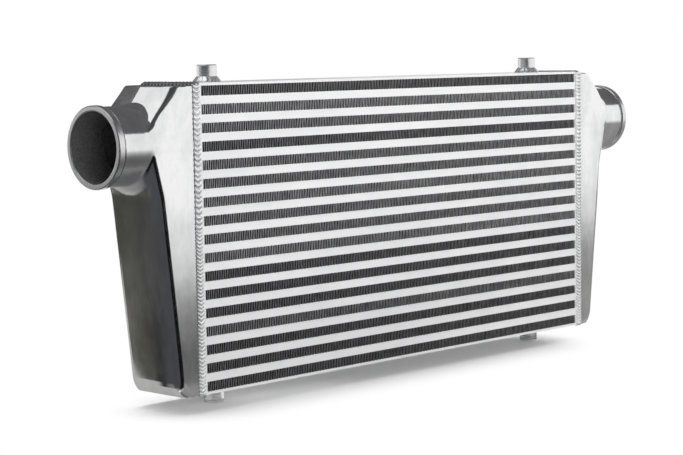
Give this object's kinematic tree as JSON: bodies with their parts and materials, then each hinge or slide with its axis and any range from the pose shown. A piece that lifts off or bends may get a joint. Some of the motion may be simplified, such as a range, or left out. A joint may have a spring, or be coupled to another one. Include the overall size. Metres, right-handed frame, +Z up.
{
  "type": "intercooler",
  "caption": "Bar-and-plate air-to-air intercooler core with a cast end tank and a beaded hose neck at each end, and tapped mounting bosses above and below.",
  "frame": {"origin": "on the floor under the middle of the core, level with the feet of the two lower bosses", "axes": "+X along the core from the left tank to the right tank, +Y the way the cooling air leaves, away from the front face, +Z up"},
  "size_m": [0.7868, 0.0794, 0.334],
  "materials": {
    "cast_tank": "polished cast aluminium with fine brushing marks",
    "weld_bead": "bright rippled weld metal",
    "core_plate": "satin mill aluminium",
    "core_bar": "satin white-bright extruded aluminium",
    "brazing_sheet": "satin rolled aluminium",
    "fin_strip": "thin rolled fin stock, dark in depth",
    "turned_boss": "turned aluminium"
  },
  "bodies": {
    "root": {"right_tank": "cast_tank", "left_tank": "cast_tank", "right_tank_weld": "weld_bead", "left_tank_weld": "weld_bead", "bottom_plate": "core_plate", "top_plate": "core_plate", "left_end_bars": "core_bar", "right_end_bars": "core_bar", "parting_sheets": "brazing_sheet", "charge_fins": "fin_strip", "charge_bars_01": "core_bar", "charge_bars_02": "core_bar", "charge_bars_03": "core_bar", "charge_bars_04": "core_bar", "charge_bars_05": "core_bar", "charge_bars_06": "core_bar", "charge_bars_07": "core_bar", "charge_bars_08": "core_bar", "charge_bars_09": "core_bar", "charge_bars_10": "core_bar", "charge_bars_11": "core_bar", "charge_bars_12": "core_bar", "charge_bars_13": "core_bar", "charge_bars_14": "core_bar", "charge_bars_15": "core_bar", "charge_bars_16": "core_bar", "cooling_fin_01": "fin_strip", "cooling_fin_02": "fin_strip", "cooling_fin_03": "fin_strip", "cooling_fin_04": "fin_strip", "cooling_fin_05": "fin_strip", "cooling_fin_06": "fin_strip", "cooling_fin_07": "fin_strip", "cooling_fin_08": "fin_strip", "cooling_fin_09": "fin_strip", "cooling_fin_10": "fin_strip", "cooling_fin_11": "fin_strip", "cooling_fin_12": "fin_strip", "cooling_fin_13": "fin_strip", "cooling_fin_14": "fin_strip", "cooling_fin_15": "fin_strip", "cooling_fin_16": "fin_strip", "cooling_fin_17": "fin_strip", "upper_left_boss": "turned_boss", "upper_right_boss": "turned_boss", "lower_left_boss": "turned_boss", "lower_right_boss": "turned_boss", "boss_welds": "weld_bead"}
  },
  "joints": []
}
